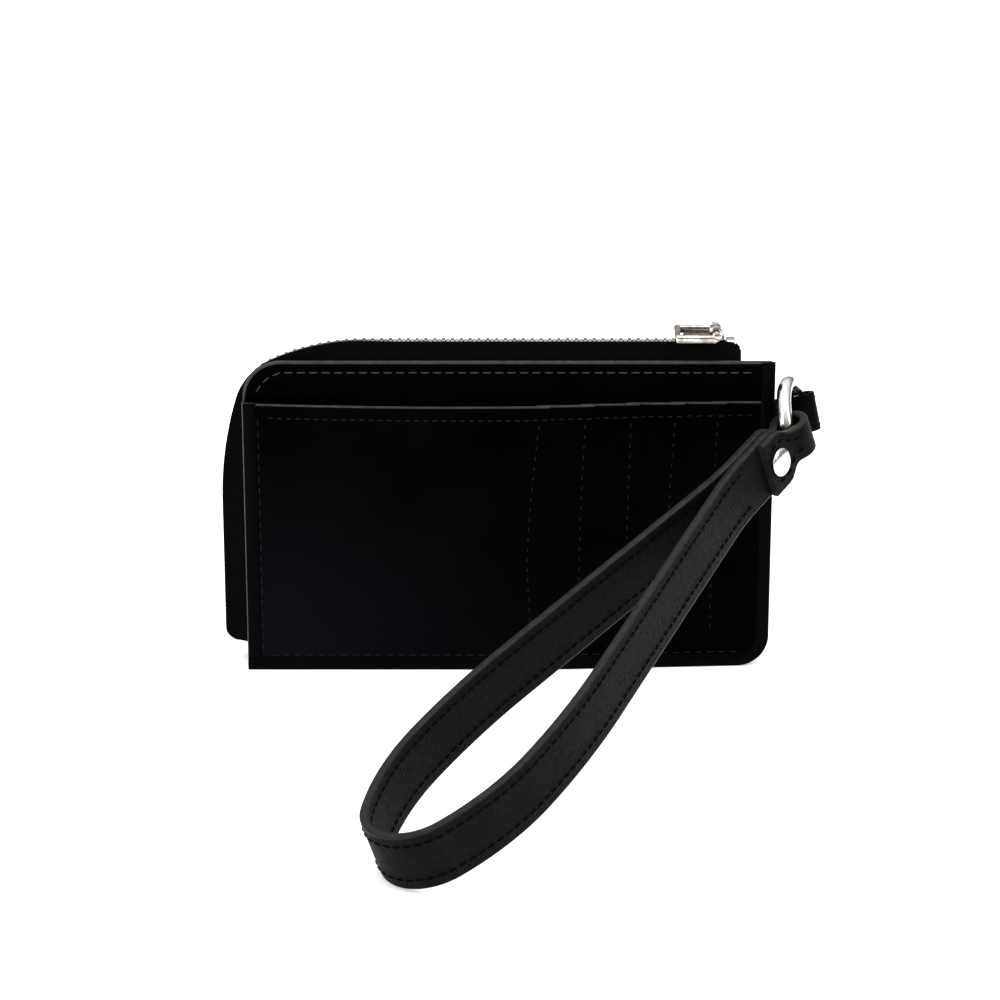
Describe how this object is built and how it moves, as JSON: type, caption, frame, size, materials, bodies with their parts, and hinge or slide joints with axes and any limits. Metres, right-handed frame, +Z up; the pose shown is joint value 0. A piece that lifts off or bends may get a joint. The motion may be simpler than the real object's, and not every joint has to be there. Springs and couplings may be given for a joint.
{
  "type": "wristlet wallet",
  "caption": "Slim leather zip wristlet wallet with stepped card pockets, a side ring and a folded wrist strap.",
  "frame": {"origin": "middle of the flat underside that the wallet stands on", "axes": "+X to the right along the front, towards the ring; +Y to the back; +Z up"},
  "size_m": [0.1501, 0.1486, 0.0888],
  "materials": {
    "leather": "smooth black leather with a soft satin sheen",
    "strap_leather": "black leather with a fine pebbled grain",
    "lining": "thin woven black lining",
    "stiffener": "plain board",
    "zip_tape": "black woven herringbone tape",
    "nickel": "polished nickel plate"
  },
  "bodies": {
    "wallet": {"front_panel": "leather", "front_stiffener": "stiffener", "front_lining": "lining", "back_panel": "leather", "back_stiffener": "stiffener", "back_lining": "lining", "base_gusset": "leather", "side_gusset": "leather", "pocket_backing": "leather", "card_pocket_1": "leather", "card_pocket_2": "leather", "card_pocket_3": "leather", "card_pocket_4": "leather", "card_pocket_5": "leather", "binding_left": "leather", "binding_bottom": "leather", "binding_right": "leather", "zip_tape_front": "zip_tape", "zip_tape_back": "zip_tape", "zip_teeth_front": "nickel", "zip_teeth_back": "nickel", "zip_top_stop": "nickel", "zip_bottom_stop": "nickel", "side_tab": "leather"},
    "slider": {"slider_body": "nickel", "slider_bail": "nickel"},
    "pull": {"zip_pull": "nickel"},
    "ring": {"ring": "nickel"},
    "strap": {"strap_outer_ply": "strap_leather", "strap_inner_ply": "strap_leather", "rivet_cap": "nickel", "rivet_post": "nickel"}
  },
  "joints": [
    {"name": "zip_slide", "type": "slide", "parent": "wallet", "child": "slider", "axis": [-1, 0, 0], "range_m": [0, 0.075], "deforming": ["zip_teeth_front", "zip_teeth_back"]},
    {"name": "pull_hinge", "type": "hinge", "parent": "slider", "child": "pull", "pos_m": [0.0514, 0, 0.08704], "axis": [0, 1, 0], "range_deg": [0, 180]},
    {"name": "ring_hinge", "type": "hinge", "parent": "wallet", "child": "ring", "pos_m": [0.07362, 0.00357, 0.06472], "axis": [-0.2009, 0.1829, 0.9624], "range_deg": [0, 30]},
    {"name": "strap_hinge", "type": "hinge", "parent": "ring", "child": "strap", "pos_m": [0.0693, -0.0135, 0.06346], "axis": [-0.2971, -0.1971, 0.9343], "range_deg": [-12, 45]}
  ]
}
